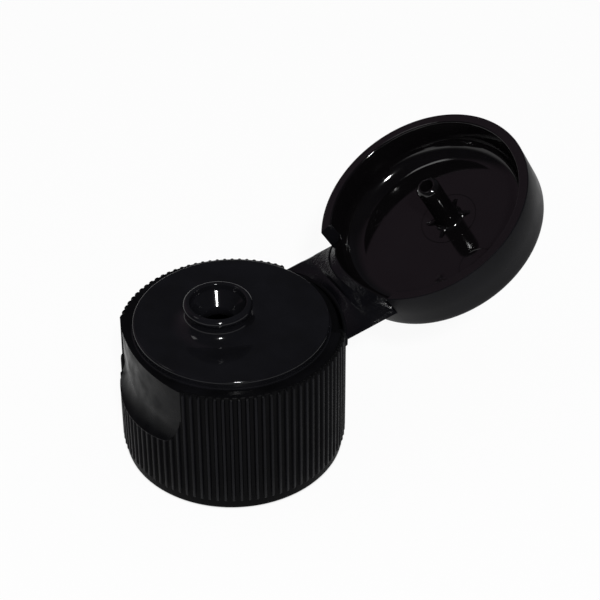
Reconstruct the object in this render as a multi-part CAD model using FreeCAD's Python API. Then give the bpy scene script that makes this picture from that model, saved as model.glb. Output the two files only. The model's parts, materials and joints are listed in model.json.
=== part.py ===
import FreeCAD, Part
import math
import os

# Flip top cap for a 24 mm, 410 finish bottle neck, moulded in one shot of
# polypropylene: threaded body, living hinge and lid. It stands on the rim of its
# skirt with the lid swung open. +Z is up, -Y is the thumb recess, +Y the hinge.
# Lengths are in millimetres and angles in degrees.

# --- Driving dimensions ---------------------------------------------------------

# Neck thread inside the skirt, for a 24 mm neck with the 410 finish
thread_root_radius = 12.20
thread_depth = 1.15
thread_pitch = 3.175
thread_turns = 1.5
thread_start_height = 3.6
thread_crest_width = 0.8
thread_foot_width = 1.9
thread_step_angle = 27.0

# Skirt
skirt_height = 17.65
skirt_wall = 1.45
skirt_draft = 0.5
rib_count = 90
rib_depth = 0.35
rib_tip_width = 0.30
rib_foot_width = 0.56
rib_end_round = 0.55
plain_band_height = 1.2
rim_round = 0.30
shoulder_round = 0.30
shoulder_thickness = 1.35

# Raised deck that the lid closes over
deck_side_gap = 0.65
deck_rise = 1.10
deck_edge_round = 0.30
deck_thickness = 1.30
deck_wall = 1.45

# Seal that plugs the bottle's mouth
seal_inset = 2.45
seal_wall = 0.75
seal_depth = 3.2

# Nozzle, set off centre towards the thumb recess
nozzle_offset = 1.75
nozzle_height = 3.30
nozzle_lip_radius = 4.24
nozzle_lip_depth = 1.10
nozzle_mouth_radius = 3.50
nozzle_neck_radius = 3.70
nozzle_foot_radius = 6.00
nozzle_flare_height = 1.50
orifice_radius = 1.80
orifice_land = 0.60
funnel_depth = 2.85

# Thumb recess, a scoop swept round a distant vertical axis and cut off at both sides
recess_sweep_radius = 20.5
recess_half_width = 8.1
recess_corner_round = 5.0
recess_depth = 1.26
recess_height = 9.70
recess_fillet = 3.6

# Lid
lid_overhang = 0.05
lid_height = 6.55
lid_top_thickness = 1.35
lid_rim_width = 1.35
lid_wall_draft = 0.10
lid_edge_round = 0.90
lid_inner_fillet = 2.4

# Hollow pin in the lid that stops the orifice
pin_clearance = 0.30
pin_reach = 2.0
pin_bore_radius = 0.85
pin_bore_depth = 5.0
pin_tip_chamfer = 0.40
fin_angle = 57.0
fin_reach = 3.0
fin_height = 1.2
fin_thickness = 0.5

# Living hinge: a bow-tie web between dished edges on the body and the lid
hinge_half_width = 8.0
hinge_axis_out = 0.50
hinge_axis_rise = 0.65
open_angle = 149.5
lid_seat_gap = 0.05
hinge_wall_proud = 0.25
hinge_wall_thickness = 0.60
hinge_wall_depth = 2.2
hinge_slot_width = 0.55
hinge_slot_depth = 2.4
body_edge_drop = 0.30
body_edge_dish = 1.05
lid_edge_drop = 0.20
lid_edge_dish = 3.00
web_thickness = 0.45
web_crease_thickness = 0.25
web_end_gap = 0.25
dish_stations = 9

# --- Sizes worked out from them ---------------------------------------------------

thread_crest_radius = thread_root_radius - thread_depth
rib_root_radius = thread_root_radius + skirt_wall
rib_tip_radius = rib_root_radius + rib_depth
draft_growth = skirt_height * math.tan(math.radians(skirt_draft))
lid_radius = rib_tip_radius + lid_overhang
lid_inner_radius = lid_radius - lid_rim_width
lid_floor_depth = lid_height - lid_top_thickness
deck_radius = lid_inner_radius - deck_side_gap
deck_height = skirt_height + deck_rise
deck_core_height = deck_height - deck_thickness
deck_core_radius = deck_radius - deck_wall
cavity_height = skirt_height - shoulder_thickness
seal_radius = thread_crest_radius - seal_inset
lip_height = deck_height + nozzle_height
funnel_floor_height = lip_height - funnel_depth
pin_radius = orifice_radius - pin_clearance
recess_floor_height = skirt_height - recess_height
hinge_wall_radius = rib_tip_radius + hinge_wall_proud
hinge_axis_y = hinge_wall_radius + hinge_axis_out
hinge_axis_z = skirt_height + hinge_axis_rise
beyond = rib_tip_radius + 2.0 * lid_rim_width

X_AXIS = FreeCAD.Vector(1, 0, 0)
Z_AXIS = FreeCAD.Vector(0, 0, 1)
HINGE_POINT = FreeCAD.Vector(0, hinge_axis_y, hinge_axis_z)


# --- Building blocks ----------------------------------------------------------------

def arc_point(centre, radius, angle):
    """The point of a circle in the radius and height plane."""
    turn = math.radians(angle)
    return (centre[0] + radius * math.cos(turn), centre[1] + radius * math.sin(turn))


def profile_face(steps):
    """A face in the XZ plane from points and, for a round stretch, (mid, end) pairs."""
    def place(point):
        return FreeCAD.Vector(point[0], 0, point[1])

    edges = []
    here = steps[0]
    for step in steps[1:] + [steps[0]]:
        if isinstance(step[0], tuple):
            middle, end = step
            edges.append(Part.Arc(place(here), place(middle), place(end)).toShape())
            here = end
        elif math.dist(here, step) > 1e-6:
            edges.append(Part.makeLine(place(here), place(step)))
            here = step
    return Part.Face(Part.Wire(edges))


def turned(steps, centre_y=0.0):
    """A solid of revolution about the vertical axis at y = centre_y."""
    solid = profile_face(steps).revolve(FreeCAD.Vector(0, 0, 0), Z_AXIS, 360)
    solid.translate(FreeCAD.Vector(0, centre_y, 0))
    return solid


def rounded(corner, radius, start_angle, end_angle):
    """The (mid, end) pair of a quarter round whose centre is `corner`."""
    middle = arc_point(corner, radius, (start_angle + end_angle) / 2)
    return (middle, arc_point(corner, radius, end_angle))


def cylinder(radius, low, high, centre_y=0.0):
    return Part.makeCylinder(radius, high - low, FreeCAD.Vector(0, centre_y, low))


def tube(outer, inner, low, high):
    return cylinder(outer, low, high).cut(cylinder(inner, low - 1, high + 1))


def plank(points, depth_low, depth_high):
    """A prism along Y over an outline in the XZ plane."""
    outline = [FreeCAD.Vector(x, depth_low, z) for x, z in points]
    face = Part.Face(Part.makePolygon(outline + outline[:1]))
    return face.extrude(FreeCAD.Vector(0, depth_high - depth_low, 0))


def dish(x, dip):
    """How far a hinge edge falls at x: an arc's shape, nothing in the middle."""
    return dip * (x / hinge_half_width) ** 2


def across_hinge():
    """Stations from one end of the hinge to the other."""
    spans = dish_stations - 1
    return [hinge_half_width * (2 * i / spans - 1) for i in range(dish_stations)]


def dished_edge(height, dip):
    """Points of a hinge edge, highest in the middle, from one end to the other."""
    return [(x, height - dish(x, dip)) for x in across_hinge()]


# --- Body: skirt, ribs, deck, nozzle, seal and thread -----------------------------

def skirt_shell():
    """The skirt between its ribs, the shoulder and the raised deck, all solid."""
    foot = rib_root_radius + draft_growth
    top = rib_root_radius
    return turned([
        (0, 0),
        (foot - rim_round, 0),
        rounded((foot - rim_round, rim_round), rim_round, -90, 0),
        (top, skirt_height - shoulder_round),
        rounded((top - shoulder_round, skirt_height - shoulder_round), shoulder_round, 0, 90),
        (deck_radius, skirt_height),
        (deck_radius, deck_height - deck_edge_round),
        rounded((deck_radius - deck_edge_round, deck_height - deck_edge_round),
                deck_edge_round, 0, 90),
        (0, deck_height),
    ])


def one_rib():
    """A tapered upright rib at the front, its two ends rounded off."""
    def outline(radius, height):
        inner = radius - 2 * rib_depth
        half_tip = rib_tip_width / 2
        half_foot = rib_foot_width - half_tip
        corners = [(-half_foot, inner), (-half_tip, radius), (half_tip, radius), (half_foot, inner)]
        points = [FreeCAD.Vector(x, -y, height) for x, y in corners]
        return Part.makePolygon(points + points[:1])

    low = outline(rib_tip_radius + draft_growth, 0)
    high = outline(rib_tip_radius, skirt_height)
    rib = Part.makeLoft([low, high], True, True)
    foot_radius = rib_tip_radius + draft_growth
    envelope = turned([
        (rib_root_radius - rib_depth, plain_band_height),
        (foot_radius - rib_end_round, plain_band_height),
        rounded((foot_radius - rib_end_round, plain_band_height + rib_end_round),
                rib_end_round, -90, 0),
        (rib_tip_radius, skirt_height - rib_end_round),
        rounded((rib_tip_radius - rib_end_round, skirt_height - rib_end_round),
                rib_end_round, 0, 90),
        (rib_root_radius - rib_depth, skirt_height),
    ])
    return rib.common(envelope)


def ribs():
    first = one_rib()
    return [first.rotated(FreeCAD.Vector(0, 0, 0), Z_AXIS, 360 * (i + 0.5) / rib_count)
            for i in range(rib_count)]


def nozzle():
    """The spout: a flared foot, a waisted neck and a rounded lip."""
    lip_centre_height = lip_height - nozzle_lip_depth / 2
    lip_round = nozzle_lip_depth / 2
    lip_centre = (nozzle_lip_radius - lip_round, lip_centre_height)
    neck_height = deck_height + nozzle_flare_height
    flare_mid = (nozzle_neck_radius + 0.29 * (nozzle_foot_radius - nozzle_neck_radius),
                 deck_height + 0.29 * nozzle_flare_height)
    return turned([
        (0, deck_core_height),
        (nozzle_foot_radius, deck_core_height),
        (nozzle_foot_radius, deck_height),
        (flare_mid, (nozzle_neck_radius, neck_height)),
        arc_point(lip_centre, lip_round, -60),
        rounded(lip_centre, lip_round, -60, 90),
        (0, lip_height),
    ], -nozzle_offset)


def nozzle_bore():
    """Funnel, the short land that the pin stops, and the relief below it."""
    land_bottom = funnel_floor_height - orifice_land
    relief = land_bottom - deck_core_height
    return turned([
        (0, deck_core_height - 1),
        (orifice_radius + relief + 1, deck_core_height - 1),
        (orifice_radius, land_bottom),
        (orifice_radius, funnel_floor_height),
        (nozzle_mouth_radius, lip_height),
        (nozzle_mouth_radius, lip_height + 1),
        (0, lip_height + 1),
    ], -nozzle_offset)


def thread_ridge():
    """The neck thread as short straight wedges on a helix, to be bored to the crest."""
    count = round(thread_turns * 360 / thread_step_angle)
    foot_radius = (thread_root_radius + rib_root_radius) / 2
    tip_radius = thread_crest_radius - (foot_radius - thread_crest_radius) / 4

    def section(index):
        angle = math.radians(index * thread_step_angle)
        height = thread_start_height + thread_pitch * index * thread_step_angle / 360
        corners = [(foot_radius, -thread_foot_width / 2), (tip_radius, -thread_crest_width / 2),
                   (tip_radius, thread_crest_width / 2), (foot_radius, thread_foot_width / 2)]
        points = [FreeCAD.Vector(r * math.cos(angle), r * math.sin(angle), height + z)
                  for r, z in corners]
        return Part.makePolygon(points + points[:1])

    return [Part.makeLoft([section(i), section(i + 1)], True, True) for i in range(count)]


def thumb_recess():
    """The scoop: an upright wall with a wide fillet at its foot, as seen in its window."""
    centre_y = recess_sweep_radius - (rib_tip_radius - recess_depth)
    outer = recess_sweep_radius + recess_fillet + recess_depth
    fillet_centre = (recess_sweep_radius + recess_fillet, recess_floor_height + recess_fillet)
    ring = turned([
        (outer, recess_floor_height),
        (fillet_centre[0], recess_floor_height),
        rounded(fillet_centre, recess_fillet, 270, 180),
        (recess_sweep_radius, skirt_height + 1),
        (outer, skirt_height + 1),
    ], centre_y)
    corner_x = recess_half_width - recess_corner_round
    corner_z = recess_floor_height + recess_corner_round
    window = profile_face([
        (-recess_half_width, skirt_height + 1),
        (-recess_half_width, corner_z),
        rounded((-corner_x, corner_z), recess_corner_round, 180, 270),
        (corner_x, recess_floor_height),
        rounded((corner_x, corner_z), recess_corner_round, 270, 360),
        (recess_half_width, skirt_height + 1),
    ])
    return ring.common(window.extrude(FreeCAD.Vector(0, -outer, 0)))


def hinge_wall_edge():
    return dished_edge(skirt_height - body_edge_drop, body_edge_dish)


def hinge_wall():
    """The thin plain wall behind the slot, which carries the web along its top edge."""
    low = skirt_height - hinge_wall_depth
    slope = hinge_wall_radius - rib_root_radius
    ring = turned([
        (rib_root_radius - hinge_wall_thickness, low - slope),
        (rib_root_radius, low - slope),
        (hinge_wall_radius, low),
        (hinge_wall_radius, skirt_height),
        (rib_root_radius - hinge_wall_thickness, skirt_height),
    ])
    edge = hinge_wall_edge()
    base = [(hinge_half_width, low - slope), (-hinge_half_width, low - slope)]
    return ring.common(plank(edge + base, 0, beyond))


def hinge_wall_clearance():
    """Takes the ribs and the shoulder's corner off outside the slot."""
    edge = hinge_wall_edge()
    above = [(hinge_half_width, skirt_height + 1), (-hinge_half_width, skirt_height + 1)]
    slot_outer = hinge_wall_radius - hinge_wall_thickness
    outside = tube(beyond, slot_outer, 0, skirt_height + 2)
    return plank(edge + above, 0, beyond).common(outside)


def hinge_slot():
    slot_outer = hinge_wall_radius - hinge_wall_thickness
    slot_inner = slot_outer - hinge_slot_width
    low = skirt_height - hinge_slot_depth
    ring = tube(slot_outer, slot_inner, low, skirt_height + 1)
    reach = hinge_half_width - hinge_wall_thickness
    window = plank([(-reach, low), (reach, low), (reach, skirt_height + 1),
                    (-reach, skirt_height + 1)], 0, beyond)
    return ring.common(window)


def cap_body():
    body = skirt_shell().fuse(ribs())
    body = body.fuse([hinge_wall(), nozzle()])
    body = body.cut([hinge_wall_clearance(), hinge_slot(), thumb_recess()])
    body = body.cut([cylinder(thread_root_radius, -1, cavity_height),
                     cylinder(deck_core_radius, 0, deck_core_height)])
    seal_low = cavity_height - seal_depth
    seal = tube(seal_radius, seal_radius - seal_wall, seal_low, deck_core_height)
    body = body.fuse([seal] + thread_ridge())
    crest_bore = cylinder(thread_crest_radius, -1, seal_low)
    return body.cut([crest_bore, nozzle_bore()])


# --- Lid, drawn shut: its rim at z = 0 and its top below it, then swung to rest ----

def lid_shell():
    """A shallow dish; height 0 is the rim and the moulded top lies below it."""
    top = -lid_height
    floor = -lid_floor_depth
    wall_foot = lid_radius - lid_wall_draft
    inner_foot = lid_inner_radius - lid_wall_draft
    return turned([
        (0, top),
        (wall_foot - lid_edge_round, top),
        rounded((wall_foot - lid_edge_round, top + lid_edge_round), lid_edge_round, -90, 0),
        (lid_radius, 0),
        (lid_inner_radius, 0),
        (inner_foot, floor + lid_inner_fillet),
        rounded((inner_foot - lid_inner_fillet, floor + lid_inner_fillet),
                lid_inner_fillet, 0, -90),
        (0, floor),
    ])


def pin():
    floor = -lid_floor_depth
    root = floor - lid_top_thickness / 2
    return turned([
        (0, root),
        (pin_radius, root),
        (pin_radius, pin_reach - pin_tip_chamfer),
        (pin_radius - pin_tip_chamfer, pin_reach),
        (0, pin_reach),
    ], nozzle_offset)


def pin_bore():
    return cylinder(pin_bore_radius, pin_reach - pin_bore_depth, pin_reach + 1, nozzle_offset)


def pin_fins():
    """Four small sloping ribs that stiffen the foot of the pin."""
    floor = -lid_floor_depth
    root = floor - lid_top_thickness / 2
    outline = [(0, root), (fin_reach, root), (fin_reach, floor), (0, floor + fin_height)]
    fin = plank(outline, -fin_thickness / 2, fin_thickness / 2)
    fins = []
    for angle in (fin_angle, 180 - fin_angle, 180 + fin_angle, -fin_angle):
        turned_fin = fin.rotated(FreeCAD.Vector(0, 0, 0), Z_AXIS, angle)
        turned_fin.translate(FreeCAD.Vector(0, nozzle_offset, 0))
        fins.append(turned_fin)
    return fins


def lid_hinge_cut():
    """Dishes the wall over the hinge, on the side that faces the body."""
    edge = dished_edge(-lid_edge_drop, lid_edge_dish)
    above = [(hinge_half_width, 1), (-hinge_half_width, 1)]
    return plank(edge + above, -beyond, -lid_inner_radius / 2)


def to_open_pose(shape):
    """Carries the lid from its own frame, rim centre at the origin, to where it rests.

    Shut, the lid lies upside down on the shoulder: its own +Y then points to -Y and
    its rim faces down. Opening swings it back over the hinge axis.
    """
    placed = shape.copy()
    placed.rotate(FreeCAD.Vector(0, 0, 0), X_AXIS, 180)
    placed.translate(FreeCAD.Vector(0, 0, skirt_height + lid_seat_gap))
    placed.rotate(HINGE_POINT, X_AXIS, -open_angle)
    return placed


def lid():
    shell = lid_shell().cut(lid_hinge_cut())
    shell = shell.fuse([pin()] + pin_fins())
    return to_open_pose(shell.cut(pin_bore()))


# --- Web ------------------------------------------------------------------------------

def body_edge_point(x):
    y = math.sqrt(hinge_wall_radius ** 2 - x ** 2)
    return FreeCAD.Vector(x, y, skirt_height - body_edge_drop - dish(x, body_edge_dish))


def lid_edge_point(x):
    y = -math.sqrt(lid_radius ** 2 - x ** 2)
    shut = Part.Vertex(x, y, -lid_edge_drop - dish(x, lid_edge_dish))
    return to_open_pose(shut).Point


def web_section(x):
    """The web's cross-section at x: a strip, thinned at the fold in its middle."""
    start = body_edge_point(x)
    end = lid_edge_point(x)
    along = (end - start).normalize()
    across = X_AXIS.cross(along)
    start = start + along * web_end_gap
    end = end - along * web_end_gap
    middle = (start + end) / 2
    half = across * (web_thickness / 2)
    fold = across * (web_crease_thickness - web_thickness / 2)
    points = [start - half, middle - half, end - half, end + half, middle + fold, start + half]
    return Part.makePolygon(points + points[:1])


def hinge_web():
    return Part.makeLoft([web_section(x) for x in across_hinge()], True, True)


# --- Output ---------------------------------------------------------------------------

def write(name, shape):
    solids = shape.Solids
    result = solids[0] if len(solids) == 1 else Part.makeCompound(solids)
    print(name, "solids", len(solids), "valid", result.isValid(), "volume", round(result.Volume, 2))
    result.exportStep(os.path.join("parts", name + ".step"))


os.makedirs("parts", exist_ok=True)
write("cap_body", cap_body())
write("hinge_web", hinge_web())
write("lid", lid())
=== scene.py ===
import json
import math

import bpy
import numpy as np
from mathutils import Matrix, Vector


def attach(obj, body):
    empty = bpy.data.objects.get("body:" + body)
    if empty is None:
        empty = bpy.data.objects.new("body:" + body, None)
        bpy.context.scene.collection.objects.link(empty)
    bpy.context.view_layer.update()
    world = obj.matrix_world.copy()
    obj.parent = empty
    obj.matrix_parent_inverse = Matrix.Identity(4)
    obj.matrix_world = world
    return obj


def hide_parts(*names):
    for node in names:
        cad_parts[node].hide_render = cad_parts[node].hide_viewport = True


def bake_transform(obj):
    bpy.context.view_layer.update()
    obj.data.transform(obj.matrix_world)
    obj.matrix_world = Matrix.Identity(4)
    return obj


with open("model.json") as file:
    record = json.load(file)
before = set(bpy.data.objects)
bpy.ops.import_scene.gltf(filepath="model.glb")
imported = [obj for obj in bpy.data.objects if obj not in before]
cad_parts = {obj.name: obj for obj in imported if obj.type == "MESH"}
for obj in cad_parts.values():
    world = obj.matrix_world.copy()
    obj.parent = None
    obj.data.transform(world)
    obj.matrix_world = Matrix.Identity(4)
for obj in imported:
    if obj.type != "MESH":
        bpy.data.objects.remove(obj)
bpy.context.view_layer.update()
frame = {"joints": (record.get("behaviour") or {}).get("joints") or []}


# --- Cap body -----------------------------------------------------------------
# Ribbed skirt with a thumb recess, raised deck and pouring nozzle. Black
# polypropylene, injection moulded in one shot with the hinge and the lid, so
# the mould gives each face its own gloss: spark-eroded skirt, polished deck.

MM = 0.001


def linear(hex_colour):
    """Scene-linear RGBA from an sRGB hex colour."""
    channels = [int(hex_colour[i:i + 2], 16) / 255 for i in (1, 3, 5)]
    return [c / 12.92 if c <= 0.04045 else ((c + 0.055) / 1.055) ** 2.4 for c in channels] + [1]


def add_node(tree, kind, inputs=None, **settings):
    """Adds a shader node. `inputs` maps socket names to values or to other sockets."""
    node = tree.nodes.new("ShaderNode" + kind)
    for name, value in settings.items():
        setattr(node, name, value)
    for name, value in (inputs or {}).items():
        if isinstance(value, bpy.types.NodeSocket):
            tree.links.new(value, node.inputs[name])
        else:
            node.inputs[name].default_value = value
    return node


def noise(tree, place, size_mm, detail=2.0, stretch=(1, 1, 1)):
    """A noise factor whose blotches measure about size_mm on the real piece."""
    scaled = add_node(tree, "VectorMath", {0: place, 1: stretch}, operation="MULTIPLY")
    inputs = {"Vector": scaled.outputs[0], "Scale": 1 / (size_mm * MM), "Detail": detail}
    return add_node(tree, "TexNoise", inputs).outputs[0]


def ranged(tree, factor, low, high, start=0.3, end=0.7):
    """Maps a factor between start and end onto low to high."""
    inputs = {"Value": factor, "From Min": start, "From Max": end, "To Min": low, "To Max": high}
    return add_node(tree, "MapRange", inputs).outputs[0]


def mixed(tree, share, first, second):
    """One colour at share 0, the other at share 1."""
    return add_node(tree, "MixRGB", {0: share, 1: first, 2: second}).outputs[0]


def polypropylene(name, colour, gloss, grain_mm, grain_depth_mm, shine, streaks=(1, 1, 1)):
    """Pigmented polypropylene: a mould grain, cloudy gloss and faint handling smears.
    Shine is low where the grain is too fine to draw and breaks up the reflection."""
    material = bpy.data.materials.new(name)
    material.use_nodes = True
    tree = material.node_tree
    shader = tree.nodes["Principled BSDF"]
    place = add_node(tree, "TexCoord").outputs["Object"]

    # Carbon black is never quite even: flow clouds a few millimetres wide.
    clouds = noise(tree, place, 4.0, 3.0)
    darker, lighter = colour
    tone = mixed(tree, ranged(tree, clouds, 0, 1), linear(darker), linear(lighter))
    tree.links.new(tone, shader.inputs["Base Color"])

    # Fine grain copied from the steel, under broader smears left by fingers.
    smears = noise(tree, place, 2.5, 4.0, streaks)
    tree.links.new(ranged(tree, smears, *gloss), shader.inputs["Roughness"])
    grain = noise(tree, place, grain_mm, 2.0, streaks)
    relief = {"Height": grain, "Strength": 1.0, "Distance": grain_depth_mm * MM}
    tree.links.new(add_node(tree, "Bump", relief).outputs[0], shader.inputs["Normal"])
    shader.inputs["IOR"].default_value = 1.49  # polypropylene
    shader.inputs["Specular IOR Level"].default_value = shine
    return material


def distance_from(tree, place, centre_mm, directions=(1, 1, 0)):
    """Distance in metres from a point, in a plane that the directions pick."""
    centre = [c * MM for c in centre_mm]
    offset = add_node(tree, "VectorMath", {0: place, 1: centre}, operation="SUBTRACT")
    inputs = {0: offset.outputs[0], 1: directions}
    flat = add_node(tree, "VectorMath", inputs, operation="MULTIPLY").outputs[0]
    return add_node(tree, "VectorMath", {0: flat}, operation="LENGTH").outputs["Value"]


def math_node(tree, operation, first, second=0.0):
    """The result of one sum on shader values."""
    return add_node(tree, "Math", {0: first, 1: second}, operation=operation).outputs[0]


# Skirt: fine spark-eroded grain, almost matt.
skirt_plastic = polypropylene("polypropylene_spark_eroded", ("#09090b", "#0d0d10"),
                              (0.38, 0.5), grain_mm=0.12, grain_depth_mm=0.006, shine=0.1)
# Deck and nozzle: polished steel, so a clear gloss with a slight orange peel.
deck_plastic = polypropylene("polypropylene_polished", ("#0b0b0d", "#0f0f12"),
                             (0.07, 0.12), grain_mm=0.5, grain_depth_mm=0.0015, shine=0.28)
# Thumb recess and ledge: draw-polished, cloudy where thumbs have rubbed.
recess_plastic = polypropylene("polypropylene_draw_polished", ("#060607", "#0a0a0c"),
                               (0.2, 0.5), grain_mm=0.4, grain_depth_mm=0.003, shine=0.065)

SKIRT_DRAFT = 0.5  # degrees


def painted_groove_shade(material):
    """Painted shade in the grooves: the base colour darkens and the gloss weakens from the ribs' crowns
    down to the grooves' root.
    """
    tree = material.node_tree
    shader = tree.nodes["Principled BSDF"]
    place = add_node(tree, "TexCoord").outputs["Object"]
    height = add_node(tree, "SeparateXYZ", {0: place}).outputs["Z"]
    taper = math_node(tree, "MULTIPLY", height, math.tan(math.radians(SKIRT_DRAFT)))
    radius = math_node(tree, "ADD", distance_from(tree, place, (0, 0, 0)), taper)
    groove_mm, crown_mm = 13.9, 14.1
    # Painted shade mask: 0 in the grooves, which take a darker colour and weaker gloss, 1 on the
    # crowns.
    bare = ranged(tree, radius, 0, 1, groove_mm * MM, crown_mm * MM)
    tone = shader.inputs["Base Color"].links[0].from_socket
    tree.links.new(mixed(tree, bare, linear("#070708"), tone), shader.inputs["Base Color"])
    tree.links.new(ranged(tree, bare, 0.03, 0.075, 0, 1), shader.inputs["Specular IOR Level"])


# Paints shade into the skirt's grooves.
painted_groove_shade(skirt_plastic)

# Sizes in millimetres, turns in degrees.
SKIRT_HEIGHT = 17.65
SKIRT_BORE = 12.35
RIB_TIP = 14.0
RIB_DEPTH = 0.35
RIB_COUNT = 90
RIB_END = 0.55
RIB_HALF_FOOT = 0.27
RIB_HALF_TIP = 0.11
PLAIN_BAND = 1.2
EDGE_ROUND = 0.3
RECESS_TURN = 36
RECESS_SWEEP = 20.5
RECESS_CENTRE = 7.76
RECESS_FLOOR = 7.95
RECESS_FILLET = 3.6
RECESS_HALF_WIDTH = 8.1
RECESS_CORNER = 5.0
RECESS_EDGE = 0.15
DECK_RADIUS = 12.05
DECK_HEIGHT = 18.75
PAD_RADIUS = 14.25
PAD_HALF_WIDTH = 8.0
PAD_FOOT = 15.5
PAD_TOP = 17.35
PAD_DISH = 1.05
HINGE_TURN = 144
SLOT_OUTER = 13.65
SLOT_INNER = 13.1
SLOT_HALF_WIDTH = 7.4
SLOT_FLOOR = 15.25
NOZZLE_OFFSET = -1.75
NOZZLE_FOOT = 6.0
SEAL_TOP = 17.45


def smooth(t):
    """Eases a share of 0 to 1 in and out."""
    t = np.clip(t, 0, 1)
    return t * t * (3 - 2 * t)


def pad_top(x):
    """Height of the pad's dished edge, where the hinge film starts."""
    return PAD_TOP - PAD_DISH * (x / PAD_HALF_WIDTH) ** 2


def quarter_round(radius, travel):
    """How far a rounded edge has fallen back after `travel` along the face."""
    return radius - np.sqrt(np.maximum(radius ** 2 - travel ** 2, 0))


def arc(centre, radius, start, end, count):
    """Points of a circle in the radius and height plane, angles in degrees."""
    turns = np.radians(np.linspace(start, end, count))
    return [(centre[0] + radius * math.cos(t), centre[1] + radius * math.sin(t)) for t in turns]


def surface(radius, height, angle, centre_y=0.0, closed=False, material=0):
    """A grid of points around the upright axis: rows run along the profile, columns
    round it, and the angle counts from -Y towards +X. Arrays broadcast together."""
    radius, height, angle, centre_y = np.broadcast_arrays(radius, height, angle, centre_y)
    points = np.stack([radius * np.sin(angle), centre_y - radius * np.cos(angle), height], -1)
    return points, closed, material


def revolved(profile, columns, material=0, centre_y=0.0):
    """A surface of revolution; centre_y can differ from one profile point to the next."""
    angle = np.linspace(0, 2 * math.pi, columns, endpoint=False)[None, :]
    radius, height = (np.array(column)[:, None] for column in zip(*profile))
    return surface(radius, height, angle, np.reshape(centre_y, (-1, 1)), True, material)


def moulding(name, surfaces, materials, sharp_degrees=40):
    """One mesh object, in metres, from point grids."""
    vertices, faces, slots = [], [], []
    for points, closed, material in surfaces:
        rows, columns = points.shape[:2]
        index = np.arange(rows * columns).reshape(rows, columns) + len(vertices)
        if closed:
            index = np.hstack([index, index[:, :1]])
        corners = (index[:-1, :-1], index[:-1, 1:], index[1:, 1:], index[1:, :-1])
        quads = np.stack([corner.ravel() for corner in corners], -1)
        vertices.extend((points.reshape(-1, 3) * MM).tolist())
        faces.extend(quads.tolist())
        slots.extend([material] * len(quads))
    mesh = bpy.data.meshes.new(name)
    mesh.from_pydata(vertices, [], faces)
    mesh.polygons.foreach_set("material_index", slots)
    for material in materials:
        mesh.materials.append(material)
    mesh.shade_smooth()
    mesh.validate()
    mesh.set_sharp_from_angle(angle=math.radians(sharp_degrees))
    piece = bpy.data.objects.new(name, mesh)
    bpy.context.scene.collection.objects.link(piece)
    return piece


def rib_columns(first, last):
    """Column angles, in degrees, that follow each rib's flanks between two angles."""
    pitch = 360 / RIB_COUNT
    across = np.array([-0.485, -0.36, -0.29, -0.21, -0.14, 0, 0.14, 0.21, 0.29, 0.36])
    centres = np.arange(first / pitch, last / pitch) * pitch + pitch / 2
    columns = (centres[:, None] + np.degrees(across / RIB_TIP)[None, :]).ravel()
    return np.append(columns, last + np.degrees(across[0] / RIB_TIP) + pitch / 2)


def skirt_radius(degrees, height):
    """How far out the skirt's face lies: the root between the ribs, or a rib."""
    pitch = 360 / RIB_COUNT
    root = RIB_TIP - RIB_DEPTH + (SKIRT_HEIGHT - height) * math.tan(math.radians(SKIRT_DRAFT))
    across = np.abs((degrees / pitch) % 1 - 0.5) * math.radians(pitch) * RIB_TIP
    rib = RIB_DEPTH * smooth((RIB_HALF_FOOT - across) / (RIB_HALF_FOOT - RIB_HALF_TIP))
    top_end = np.clip(height - (SKIRT_HEIGHT - RIB_END), 0, RIB_END)
    low_end = np.clip(PLAIN_BAND + RIB_END - height, 0, RIB_END)
    rib_face = root + rib - quarter_round(RIB_END, top_end) - quarter_round(RIB_END, low_end)
    rib_face = np.where(height < PLAIN_BAND, 0, rib_face)
    shoulder = np.clip(height - (SKIRT_HEIGHT - EDGE_ROUND), 0, EDGE_ROUND)
    rim = np.clip(EDGE_ROUND - height, 0, EDGE_ROUND)
    plain = root - quarter_round(EDGE_ROUND, shoulder) - quarter_round(EDGE_ROUND, rim)
    return np.maximum(plain, rib_face)


def recess_foot(degrees):
    """Height of the scoop's lower edge: its fillet running out, or its window's corner."""
    turn = np.radians(degrees)
    face = RIB_TIP + (SKIRT_HEIGHT - RECESS_FLOOR) * math.tan(math.radians(SKIRT_DRAFT))
    sweep = np.sqrt(face ** 2 + RECESS_CENTRE ** 2 + 2 * face * RECESS_CENTRE * np.cos(turn))
    inward = np.clip(RECESS_SWEEP + RECESS_FILLET - sweep, 0, RECESS_FILLET)
    beside = np.abs(face * np.sin(turn)) - RECESS_HALF_WIDTH + RECESS_CORNER
    beside = np.clip(beside, 0, RECESS_CORNER)
    return RECESS_FLOOR + np.maximum(quarter_round(RECESS_FILLET, inward),
                                     quarter_round(RECESS_CORNER, beside))


def recess_radius(degrees, height):
    """How far out the scooped face lies."""
    drop = np.clip(RECESS_FLOOR + RECESS_FILLET - height, 0, RECESS_FILLET)
    edge = np.clip(height - (SKIRT_HEIGHT - RECESS_EDGE), 0, RECESS_EDGE)
    sweep = RECESS_SWEEP + quarter_round(RECESS_FILLET, drop) + quarter_round(RECESS_EDGE, edge)
    turn = np.radians(degrees)
    chord = np.sqrt(sweep ** 2 - (RECESS_CENTRE * np.sin(turn)) ** 2)
    return chord - RECESS_CENTRE * np.cos(turn)


def ledge(degrees, edge_radius):
    """The shoulder from the top of the skirt in to the foot of the deck."""
    share = np.array([0, 0.35, 0.7, 1.0])[:, None]
    radius = edge_radius + share * (DECK_RADIUS - 0.1 - edge_radius)
    return surface(radius, SKIRT_HEIGHT, np.radians(degrees), 0, False, 2)


def skirt_sector(first, last):
    """Skirt and ledge over a stretch of ribs."""
    degrees = rib_columns(first, last)[None, :]
    height = np.array([0] + low_heights + [6, 11.5] + top_heights)[:, None]
    wall = skirt_radius(degrees, height)
    wall[0] = SKIRT_BORE
    return [surface(wall, height, np.radians(degrees)), ledge(degrees, wall[-1:])]


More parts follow.
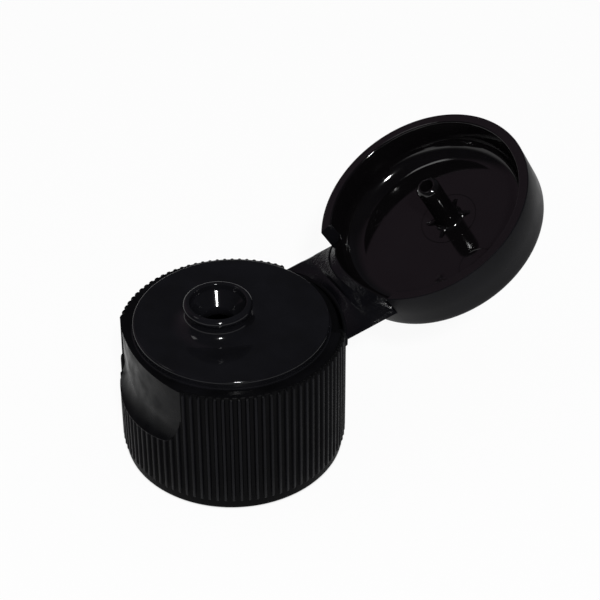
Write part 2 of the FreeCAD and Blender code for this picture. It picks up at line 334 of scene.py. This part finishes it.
def recess_sector(first, last):
    """The skirt below the thumb recess, closed by a thin lip, the polished scoop
    itself, and the ledge."""
    degrees = rib_columns(first, last)[None, :]
    foot = recess_foot(degrees)
    level = np.array([0] + low_heights + [6, 7.5])[:, None] + 0 * degrees
    level = np.vstack([level, foot - 0.2, foot - 0.12, foot - 0.08, foot])
    below = skirt_radius(degrees, level)
    below[0] = SKIRT_BORE
    below[-2:] = recess_radius(degrees, foot)
    share = np.linspace(0, 1, 44)[:, None] ** 1.4
    rise = np.vstack([foot, foot + share * (top_heights[0] - 0.1 - foot),
                      np.array(top_heights)[:, None] + 0 * foot])
    scoop = recess_radius(degrees, rise)
    scoop[0] = below[-1]
    turn = np.radians(degrees)
    return [surface(below, level, turn), surface(scoop, rise, turn, 0, False, 2),
            ledge(degrees, scoop[-1:])]


def hinge_sector(first, last, heights):
    """The plain pad that carries the film, its dished edge, and the slot behind it."""
    pad_turn = math.degrees(math.asin(PAD_HALF_WIDTH / PAD_RADIUS))
    slot_turn = math.degrees(math.asin(SLOT_HALF_WIDTH / SLOT_OUTER))
    steps = [180 + side * (turn + gap) for side in (-1, 1) for turn in (pad_turn, slot_turn)
             for gap in (-0.01, 0.01)]
    degrees = np.sort(np.append(rib_columns(first, last), steps))[None, :]
    along = PAD_RADIUS * np.sin(np.radians(degrees - 180))
    padded = np.abs(degrees - 180) < pad_turn
    slotted = np.abs(degrees - 180) < slot_turn
    top = pad_top(along)

    height = np.array(heights)[:, None]
    lower = skirt_radius(degrees, height)
    rows = [(np.full_like(degrees, SKIRT_BORE), 0 * degrees)]
    rows += list(zip(lower, height + 0 * lower))
    pad = [(14.0, PAD_FOOT - 0.3), (PAD_RADIUS - 0.03, PAD_FOOT - 0.08), (PAD_RADIUS, PAD_FOOT)]
    pad += [(PAD_RADIUS, PAD_FOOT + share * (top - PAD_FOOT - 0.12)) for share in (0.33, 0.66, 1.0)]
    pad += [(PAD_RADIUS - 0.04, top - 0.03), (PAD_RADIUS - 0.14, top), (SLOT_OUTER + 0.1, top)]
    bare = [15.2, 15.45, 15.8, 16.4, 17.0, 17.25, 17.45, 17.55, SKIRT_HEIGHT]
    for (pad_radius, pad_level), level in zip(pad, bare):
        level = level + 0 * degrees
        rows.append((np.where(padded, pad_radius, skirt_radius(degrees, level)),
                     np.where(padded, pad_level, level)))
    shoulder = skirt_radius(degrees, SKIRT_HEIGHT + 0 * degrees)
    slot = [(SLOT_OUTER, top - 0.08), (SLOT_OUTER, SLOT_FLOOR + 0.1),
            (SLOT_OUTER - 0.1, SLOT_FLOOR), (SLOT_INNER + 0.1, SLOT_FLOOR),
            (SLOT_INNER, SLOT_FLOOR + 0.1)]
    step = [(SLOT_OUTER, top), (SLOT_OUTER, SKIRT_HEIGHT - 0.15),
            (SLOT_OUTER - 0.15, SKIRT_HEIGHT), (SLOT_INNER + 0.1, SKIRT_HEIGHT),
            (SLOT_INNER, SKIRT_HEIGHT)]
    for (slot_radius, slot_level), (step_radius, step_level) in zip(slot, step):
        radius = np.where(slotted, slot_radius, np.where(padded, step_radius, shoulder))
        level = np.where(slotted, slot_level, np.where(padded, step_level, SKIRT_HEIGHT))
        rows.append((radius, level))
    for radius, level in ((SLOT_INNER, SKIRT_HEIGHT - 0.12), (SLOT_INNER - 0.12, SKIRT_HEIGHT),
                          (DECK_RADIUS - 0.1, SKIRT_HEIGHT)):
        rows.append((np.full_like(degrees, radius), np.where(slotted, level, SKIRT_HEIGHT)))
    radius = np.vstack([np.broadcast_to(row[0], degrees.shape) for row in rows])
    level = np.vstack([np.broadcast_to(row[1], degrees.shape) for row in rows])
    return surface(radius, level, np.radians(degrees))


low_heights = [0, 0.03, 0.09, 0.18, 0.3, 1.17, 1.2, 1.22, 1.3, 1.42, 1.6]
top_heights = [17.25, 17.35, 17.45, 17.53, 17.59, 17.63, SKIRT_HEIGHT]
skirt = recess_sector(-RECESS_TURN, RECESS_TURN)
skirt += skirt_sector(RECESS_TURN, HINGE_TURN)
skirt += [hinge_sector(HINGE_TURN, 360 - HINGE_TURN, low_heights + [6, 11.5, 14.85])]
skirt += skirt_sector(360 - HINGE_TURN, 360 - RECESS_TURN)

# From the foot of the deck over its edge, up the nozzle, round the lip and down
# the funnel, through the orifice and out under the deck.
deck_profile = [(12.2, SKIRT_HEIGHT), (12.1, SKIRT_HEIGHT + 0.02), (DECK_RADIUS, SKIRT_HEIGHT + 0.09)]
deck_profile += [(DECK_RADIUS, 18.1), (DECK_RADIUS, DECK_HEIGHT - EDGE_ROUND)]
deck_profile += arc((DECK_RADIUS - EDGE_ROUND, DECK_HEIGHT - EDGE_ROUND), EDGE_ROUND, 10, 90, 7)
deck_profile += [(radius, DECK_HEIGHT) for radius in (11.7, 11.2, 9.8, 8.4, 7.0, 6.05)]
flare = np.radians(np.linspace(0, 90, 12))
deck_profile += list(zip(NOZZLE_FOOT - 2.3 * np.sin(flare), DECK_HEIGHT + 1.5 * (1 - np.cos(flare))))
deck_profile += [(3.7, 20.6), (3.78, 20.9)]
deck_profile += arc((3.69, 21.5), 0.55, -60, 90, 12)
deck_profile += [(3.56, 22.03), (3.46, 21.96), (3.41, 21.8), (3.38, 21.3), (3.32, 21.15), (3.24, 21.06)]
deck_profile += [(2.82, 20.593), (2.4, 20.127), (1.98, 19.66), (1.9, 19.57), (1.84, 19.4)]
deck_profile += [(1.8, 19.2), (1.8, 18.62), (1.85, 18.55), (2.9, SEAL_TOP)]
# The nozzle stands off centre, so each ring of the deck is shifted a little further.
flat_width = DECK_RADIUS - EDGE_ROUND - NOZZLE_FOOT
shift = [NOZZLE_OFFSET * min(1, max(0, (DECK_RADIUS - EDGE_ROUND - radius) / flat_width))
         for radius, _ in deck_profile]
deck = revolved(deck_profile, 256, 1, shift)

# Underneath: the ring that seals in the bottle's mouth, the seat on its rim, the bore.
inside_profile = [(7.85, SEAL_TOP), (7.85, 13.3), (7.95, 13.1), (8.5, 13.1), (8.6, 13.3)]
inside_profile += [(8.6, SEAL_TOP), (10.6, SEAL_TOP), (10.6, 16.4), (10.7, 16.3), (12.0, 16.3)]
inside_profile += [(12.2, 16.1), (12.2, 0.15), (12.36, 0)]
inside = revolved(inside_profile, 192)
ceiling = revolved([(2.9, SEAL_TOP), (7.85, SEAL_TOP)], 192, 0, [NOZZLE_OFFSET, 0])

THREAD_TURNS = 1.5
THREAD_PITCH = 3.175
THREAD_START = 3.6
THREAD_ROOT = 12.22
thread_turn = np.linspace(0, THREAD_TURNS * 2 * math.pi, 120)[None, :]
thread_run_out = smooth(np.minimum(thread_turn, thread_turn[:, -1:] - thread_turn) / 0.35)
thread_section = [(0, -0.9), (0.35, -0.8), (1.0, -0.5), (1.15, -0.38),
                  (1.15, 0.38), (1.0, 0.5), (0.35, 0.8), (0, 0.9)]
thread_rise, thread_side = (np.array(column)[:, None] for column in zip(*thread_section))
thread_middle = THREAD_START + THREAD_PITCH * thread_turn / (2 * math.pi)
thread = surface(THREAD_ROOT - thread_rise * thread_run_out, thread_middle - thread_side,
                 thread_turn + math.pi / 2)

cap_body = moulding("cap_body_moulding", skirt + [deck, inside, ceiling, thread],
                    [skirt_plastic, deck_plastic, recess_plastic])
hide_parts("cap_body")
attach(cap_body, "cap")


# --- Lid ------------------------------------------------------------------------
# A shallow dish with a hollow pin that stops the nozzle. Same shot of black
# polypropylene; its hollow is polished, its outside satin. Drawn upside down in
# its own frame, rim at height 0 and top below it, then swung to where it rests.

LID_RADIUS = 14.05
LID_HEIGHT = 6.55
LID_INNER = 12.7
LID_FLOOR = -5.2
LID_TAPER = 0.1
LID_FILLET = 2.4
LID_TOP_ROUND = 0.9
LID_CUT_HALF = 8.0
LID_CUT_DROP = 0.2
LID_CUT_DISH = 3.0
OPEN_ANGLE = 149.5
SEAT_GAP = 0.05
PIN_OFFSET = 1.75
PIN_RADIUS = 1.5
PIN_REACH = 2.0
PIN_BORE = 0.85
FIN_LENGTH = 3.0
FIN_HEIGHT = 1.2

hinge_point = Vector(frame["joints"][0]["pos_m"])
lid_shut = Matrix.Translation((0, 0, (SKIRT_HEIGHT + SEAT_GAP) * MM)) @ Matrix.Rotation(math.pi, 4, "X")
lid_swing = Matrix.Rotation(math.radians(-OPEN_ANGLE), 4, "X")
lid_place = Matrix.Translation(hinge_point) @ lid_swing @ Matrix.Translation(-hinge_point) @ lid_shut

# Outside: satin steel. Inside and rim: mirror-polished. Where it flexes: see the film.
lid_outside = polypropylene("polypropylene_satin", ("#08080a", "#0c0c0f"),
                            (0.26, 0.38), grain_mm=0.2, grain_depth_mm=0.002, shine=0.09)
lid_inside = polypropylene("polypropylene_mirror_polished", ("#060506", "#080708"),
                           (0.05, 0.1), grain_mm=0.8, grain_depth_mm=0.0006, shine=0.5)


def witness_marks(material):
    """Lines the tool leaves on the lid's floor: the pin's insert, an ejector, scuffs."""
    tree = material.node_tree
    shader = tree.nodes["Principled BSDF"]
    rested = {"Vector": add_node(tree, "TexCoord").outputs["Object"],
              "Location": lid_place.translation, "Rotation": lid_place.to_euler()}
    place = add_node(tree, "Mapping", rested, vector_type="TEXTURE").outputs[0]
    height = add_node(tree, "SeparateXYZ", {0: place}).outputs["Z"]
    on_floor = ranged(tree, height, 1, 0, (LID_FLOOR + 0.1) * MM, (LID_FLOOR + 0.2) * MM)
    marks = 0.0
    rings = (((0, PIN_OFFSET, 0), 3.7, 0.09), ((9.0, -0.1, 0), 2.4, 0.07))
    for centre, radius, width in rings:
        from_line = math_node(tree, "SUBTRACT", distance_from(tree, place, centre), radius * MM)
        line = ranged(tree, math_node(tree, "ABSOLUTE", from_line), 1, 0, 0, width * MM)
        marks = math_node(tree, "MAXIMUM", marks, line)
    streak = ranged(tree, noise(tree, place, 0.3, 2.0, (1, 0.25, 1)), 0, 1, 0.54, 0.58)
    scuffs = (((-8.6, -5.0, 0), 1.7), ((6.9, -4.6, 0), 1.0), ((8.1, 2.7, 0), 0.5), ((8.5, 0.6, 0), 0.6))
    for centre, radius in scuffs:
        away = distance_from(tree, place, centre)
        patch = ranged(tree, away, 1, 0, 0.5 * radius * MM, radius * MM)
        marks = math_node(tree, "MAXIMUM", marks, math_node(tree, "MULTIPLY", patch, streak))
    marks = math_node(tree, "MULTIPLY", marks, on_floor)
    relief = {"Height": marks, "Strength": 1.0, "Distance": 0.012 * MM,
              "Normal": shader.inputs["Normal"].links[0].from_socket}
    tree.links.new(add_node(tree, "Bump", relief).outputs[0], shader.inputs["Normal"])
    tree.links.new(ranged(tree, marks, 0.5, 0.12, 0, 1), shader.inputs["Specular IOR Level"])


witness_marks(lid_inside)
# Flexed plastic, crumpled along the fold: the cut edge here, and the hinge film.
film_plastic = polypropylene("polypropylene_flexed", ("#060608", "#0a0a0d"),
                             (0.08, 0.3), grain_mm=0.4, grain_depth_mm=0.05, shine=0.22,
                             streaks=(2, 1, 1))


def lid_radius(level):
    """The outside wall leans in a little towards the top."""
    return LID_RADIUS + LID_TAPER * level / LID_HEIGHT


def lid_cut(x):
    """Height of the wall's edge where it is cut down in a dish over the hinge."""
    return -LID_CUT_DROP - LID_CUT_DISH * (x / LID_CUT_HALF) ** 2


def lid_profile(top):
    """The dish's section as outside, rim and inside, from the middle of the top round
    to the middle of the floor, for an edge at height `top`."""
    outer = [(0, -LID_HEIGHT), (6, -LID_HEIGHT), (11, -LID_HEIGHT)]
    outer += arc((13.05, LID_TOP_ROUND - LID_HEIGHT), LID_TOP_ROUND, -90, 0, 9)
    outer += [(lid_radius(level), level) for level in (-5.4, -5.0, -4.5, -3.5)]
    outer += [(lid_radius(top - 0.12), top - 0.12), (lid_radius(top) - 0.035, top - 0.035)]
    outer += [(lid_radius(top) - 0.12, top)]
    rim = [outer[-1], (lid_radius(top) - 0.2, top), (LID_INNER + 0.35, top), (LID_INNER + 0.25, top)]
    inner = [rim[-1], (LID_INNER + 0.14, top - 0.02), (LID_INNER + 0.04, top - 0.1)]
    inner += [(LID_INNER, top - 0.25)]
    fillet_centre = (LID_INNER - LID_TAPER - LID_FILLET, LID_FLOOR + LID_FILLET)
    inner += arc(fillet_centre, LID_FILLET, 0, -90, 20)
    inner += [(radius, LID_FLOOR) for radius in (10.15, 9.9, 8.0, 6.0, 4.0, 2.0, 0)]
    return outer, rim, inner


def lid_columns(share, top, hinge_side):
    """Grids for a stretch of the lid. On the hinge side share runs -1 to 1 across the cut."""
    grids = []
    for material, part in zip((0, 2 if hinge_side else 1, 1), lid_profile(top)):
        radius = np.array([0 * share + point[0] for point in part])
        level = np.array([0 * share + point[1] for point in part])
        edge = np.arcsin(LID_CUT_HALF / np.maximum(radius, 12.4))
        if hinge_side:
            angle = np.arcsin(share * np.sin(edge))
        else:
            angle = edge + share * (2 * math.pi - 2 * edge)
        grids.append(surface(radius, level, angle, 0, False, material))
    return grids


cut_across = np.linspace(-1, 1, 41)
cut_side = lid_columns(cut_across, lid_cut(cut_across * LID_CUT_HALF), True)
rim_side = lid_columns(np.linspace(0, 1, 201), np.zeros(201), False)


def step_face(cut_column, rim_column):
    """The upright face where the rim ends and the cut begins."""
    columns = [np.vstack([grid[0][:, column] for grid in grids])
               for grids, column in ((cut_side, cut_column), (rim_side, rim_column))]
    return np.stack(columns, 1), False, 0


lid_shell = cut_side + rim_side + [step_face(-1, 0), step_face(0, -1)]

# Up from the fillet at the pin's foot, over its chamfered tip and down its blind bore.
pin_profile = [(2.2, LID_FLOOR - 0.05), (1.85, LID_FLOOR + 0.05), (1.62, LID_FLOOR + 0.25)]
pin_profile += [(PIN_RADIUS + 0.03, LID_FLOOR + 0.6), (PIN_RADIUS, 0), (PIN_RADIUS, PIN_REACH - 0.5)]
pin_profile += [(PIN_RADIUS - 0.06, PIN_REACH - 0.36), (PIN_RADIUS - 0.36, PIN_REACH - 0.06)]
pin_profile += [(PIN_RADIUS - 0.46, PIN_REACH), (PIN_BORE + 0.1, PIN_REACH)]
pin_profile += [(PIN_BORE + 0.02, PIN_REACH - 0.05), (PIN_BORE, PIN_REACH - 0.15)]
pin_profile += [(PIN_BORE - 0.01, -2.6), (0.6, -2.95), (0, -3.0)]
pin = revolved(pin_profile, 64, 1, PIN_OFFSET)


def fin(degrees):
    """A small sloping rib at the foot of the pin."""
    along = np.linspace(0.6, FIN_LENGTH, 9)[None, :]
    crest = np.clip(FIN_HEIGHT * (1 - along / FIN_LENGTH), 0, 1)
    side = np.array([-0.25, -0.25, -0.19, 0, 0.19, 0.25, 0.25])[:, None]
    share = np.array([0, 0.85, 0.97, 1.0, 0.97, 0.85, 0])[:, None]
    turn = math.radians(degrees)
    x = along * math.cos(turn) - side * math.sin(turn)
    y = along * math.sin(turn) + side * math.cos(turn) + PIN_OFFSET
    z = LID_FLOOR - 0.05 + (crest + 0.05) * share
    return np.stack(np.broadcast_arrays(x, y, z), -1), False, 1


fins = [fin(degrees) for degrees in (57, 123, 237, 303)]

lid = moulding("lid_moulding", lid_shell + [pin] + fins,
               [lid_outside, lid_inside, film_plastic])
lid.data.transform(lid_place)
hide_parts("lid")
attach(lid, "lid")


# --- Hinge film -------------------------------------------------------------------
# The living hinge: a bow-tie film of the same polypropylene, just under half a
# millimetre thick, that joins the pad's dished edge to the lid's. Flexing has
# polished it, crumpled it and creased it across the middle.

FILM_THICKNESS = 0.45
FILM_OVERLAP = 0.15
FILM_CREASE = 0.17


def body_edge(x):
    """Points along the pad's dished edge."""
    return np.stack([x, np.sqrt(PAD_RADIUS ** 2 - x ** 2), pad_top(x)], -1)


def lid_edge(x):
    """Points along the lid's cut edge, where the lid rests."""
    points = np.stack([x, -np.sqrt(LID_RADIUS ** 2 - x ** 2), lid_cut(x)], -1)
    return np.array([list((lid_place @ Vector(point * MM)) / MM) for point in points])


half_width = PAD_HALF_WIDTH - 0.02
film_across = np.linspace(-half_width, half_width, 65)
start, end = body_edge(film_across), lid_edge(film_across)
direction = (end - start) / np.linalg.norm(end - start, axis=1)[:, None]
start = start - direction * FILM_OVERLAP
end = end + direction * FILM_OVERLAP
normal = np.cross(np.array([1.0, 0, 0]), direction)
# Both free sides of the film are rounded off over their last bit.
side_round = 0.23
past_flat = ((np.abs(film_across) - half_width + side_round) / side_round).clip(0, 1)
edge_round = np.sqrt(np.clip(1 - past_flat ** 2, 0.0004, 1))
film_rows = []
stations = np.linspace(0, 1, 15)
for side, order in ((1, stations[::-1]), (-1, stations)):
    for t in order:
        crease = FILM_CREASE * math.exp(-((t - 0.5) / 0.09) ** 2) if side > 0 else 0
        lift = side * (FILM_THICKNESS / 2 - crease) * edge_round
        film_rows.append(start + (end - start) * t + normal * lift[:, None])
film_points = np.stack(film_rows + film_rows[:1])
film = moulding("hinge_film", [(film_points, False, 0)], [film_plastic])
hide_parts("hinge_web")
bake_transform(film)


# --- Floor and backdrop -----------------------------------------------------------
# A flat sheet of white paper that takes the cap's shadow. The camera sees it as white; gloss
# sees it paler than it is near the cap and dimmer far off. The room behind it is a
# dim tinted wall, and dark above and in front.

floor_mesh = bpy.data.meshes.new("studio_floor")
floor_mesh.from_pydata([(-2, -2, 0), (2, -2, 0), (2, 2, 0), (-2, 2, 0)], [], [(0, 1, 2, 3)])
floor = bpy.data.objects.new("studio_floor", floor_mesh)
bpy.context.scene.collection.objects.link(floor)
paper = bpy.data.materials.new("white_paper")
paper.use_nodes = True
paper_tree = paper.node_tree
paper_tree.nodes.clear()
paper_place = add_node(paper_tree, "TexCoord").outputs["Object"]
paper_fibre = noise(paper_tree, paper_place, 0.6, 3.0)
paper_tone = mixed(paper_tree, paper_fibre, linear("#dcdcdc"), linear("#e2e2e2"))
paper_diffuse = add_node(paper_tree, "BsdfDiffuse", {"Color": paper_tone}).outputs[0]
paper_rays = add_node(paper_tree, "LightPath").outputs
paper_away = distance_from(paper_tree, paper_place, (0, 0, 0))
paper_mirror = math_node(paper_tree, "MAXIMUM", paper_rays["Is Glossy Ray"],
                         paper_rays["Is Transmission Ray"])
paper_reach = ranged(paper_tree, paper_away, 0.43, 0.1, 45 * MM, 110 * MM)
paper_mirror = math_node(paper_tree, "MULTIPLY", paper_mirror, paper_reach)
paper_seen = math_node(paper_tree, "MAXIMUM", paper_rays["Is Camera Ray"], paper_mirror)
# Not under the cap, where it would shine up through the orifice.
paper_open = ranged(paper_tree, paper_away, 0, 1, 13.4 * MM, 13.9 * MM)
paper_seen = math_node(paper_tree, "MULTIPLY", paper_seen, paper_open)
paper_share = ranged(paper_tree, paper_seen, 0, 0.93, 0, 1)
paper_white = add_node(paper_tree, "Emission", {"Color": linear("#ffffff"), "Strength": 1.0}).outputs[0]
paper_mix = add_node(paper_tree, "MixShader", {0: paper_share, 1: paper_diffuse, 2: paper_white})
add_node(paper_tree, "OutputMaterial", {"Surface": paper_mix.outputs[0]})
floor_mesh.materials.append(paper)

world = bpy.data.worlds.new("studio")
bpy.context.scene.world = world
world.use_nodes = True
sky = world.node_tree
sky.nodes.clear()
rays = add_node(sky, "LightPath").outputs
direction = add_node(sky, "TexCoord").outputs["Generated"]
split = add_node(sky, "SeparateXYZ", {0: direction}).outputs
behind = add_node(sky, "VectorMath", {0: direction, 1: (-0.871, 0.491, 0)}, operation="DOT_PRODUCT")
is_behind = ranged(sky, behind.outputs["Value"], 0, 1, 0.1, 0.35)
is_beside = ranged(sky, split["Y"], 0, 1, -0.2, 0.3)
wall = mixed(sky, is_beside, (0.15, 0.112, 0.14, 1), (0.05, 0.05, 0.06, 1))
room = mixed(sky, is_behind, (0.025, 0.025, 0.03, 1), wall)
horizon = ranged(sky, behind.outputs["Value"], 0.25, 0.1, 0.1, 0.35)
gloss = mixed(sky, ranged(sky, split["Z"], 1, 0, 0.0, 0.12), room, horizon)
mirror = math_node(sky, "MAXIMUM", rays["Is Glossy Ray"], rays["Is Transmission Ray"])
lit = mixed(sky, mirror, (0.42, 0.42, 0.42, 1), gloss)
seen = mixed(sky, rays["Is Camera Ray"], lit, linear("#ffffff"))
backdrop = add_node(sky, "Background", {"Color": seen, "Strength": 1.0})
add_node(sky, "OutputWorld", {"Surface": backdrop.outputs[0]})


# --- Lamps ------------------------------------------------------------------------
# A small key above the camera gives the hard highlights; a wider, faint fill
# stands high at the front left.


def lamp(name, place, aim, size, watts):
    """A square soft lamp at `place` aimed at `aim`, in metres."""
    light = bpy.data.lights.new(name, "AREA")
    light.size = size
    light.energy = watts
    holder = bpy.data.objects.new(name, light)
    holder.location = place
    holder.rotation_euler = (Vector(aim) - Vector(place)).to_track_quat("-Z", "Y").to_euler()
    bpy.context.scene.collection.objects.link(holder)


middle = (0, 0.01, 0.015)
lamp("key_lamp", (0.39, -0.149, 0.43), middle, size=0.05, watts=3.0)
lamp("fill_lamp", (-0.35, -0.45, 0.75), middle, size=0.16, watts=0.2)


# --- Camera -----------------------------------------------------------------------
# A short telephoto, looking down at the cap from its front right. The azimuth counts
# from -Y towards +X.

azimuth, elevation = math.radians(60.56), math.radians(37.94)
back = Vector((math.sin(azimuth) * math.cos(elevation),
               -math.cos(azimuth) * math.cos(elevation), math.sin(elevation)))
camera = bpy.data.objects.new("camera", bpy.data.cameras.new("camera"))
camera.location = (0.14999, -0.07504, 0.15210)
camera.rotation_euler = back.to_track_quat("Z", "Y").to_euler()
camera.data.lens = 105.5
camera.data.sensor_width = 36
bpy.context.scene.collection.objects.link(camera)
bpy.context.scene.camera = camera
bpy.context.scene.view_settings.view_transform = "Standard"
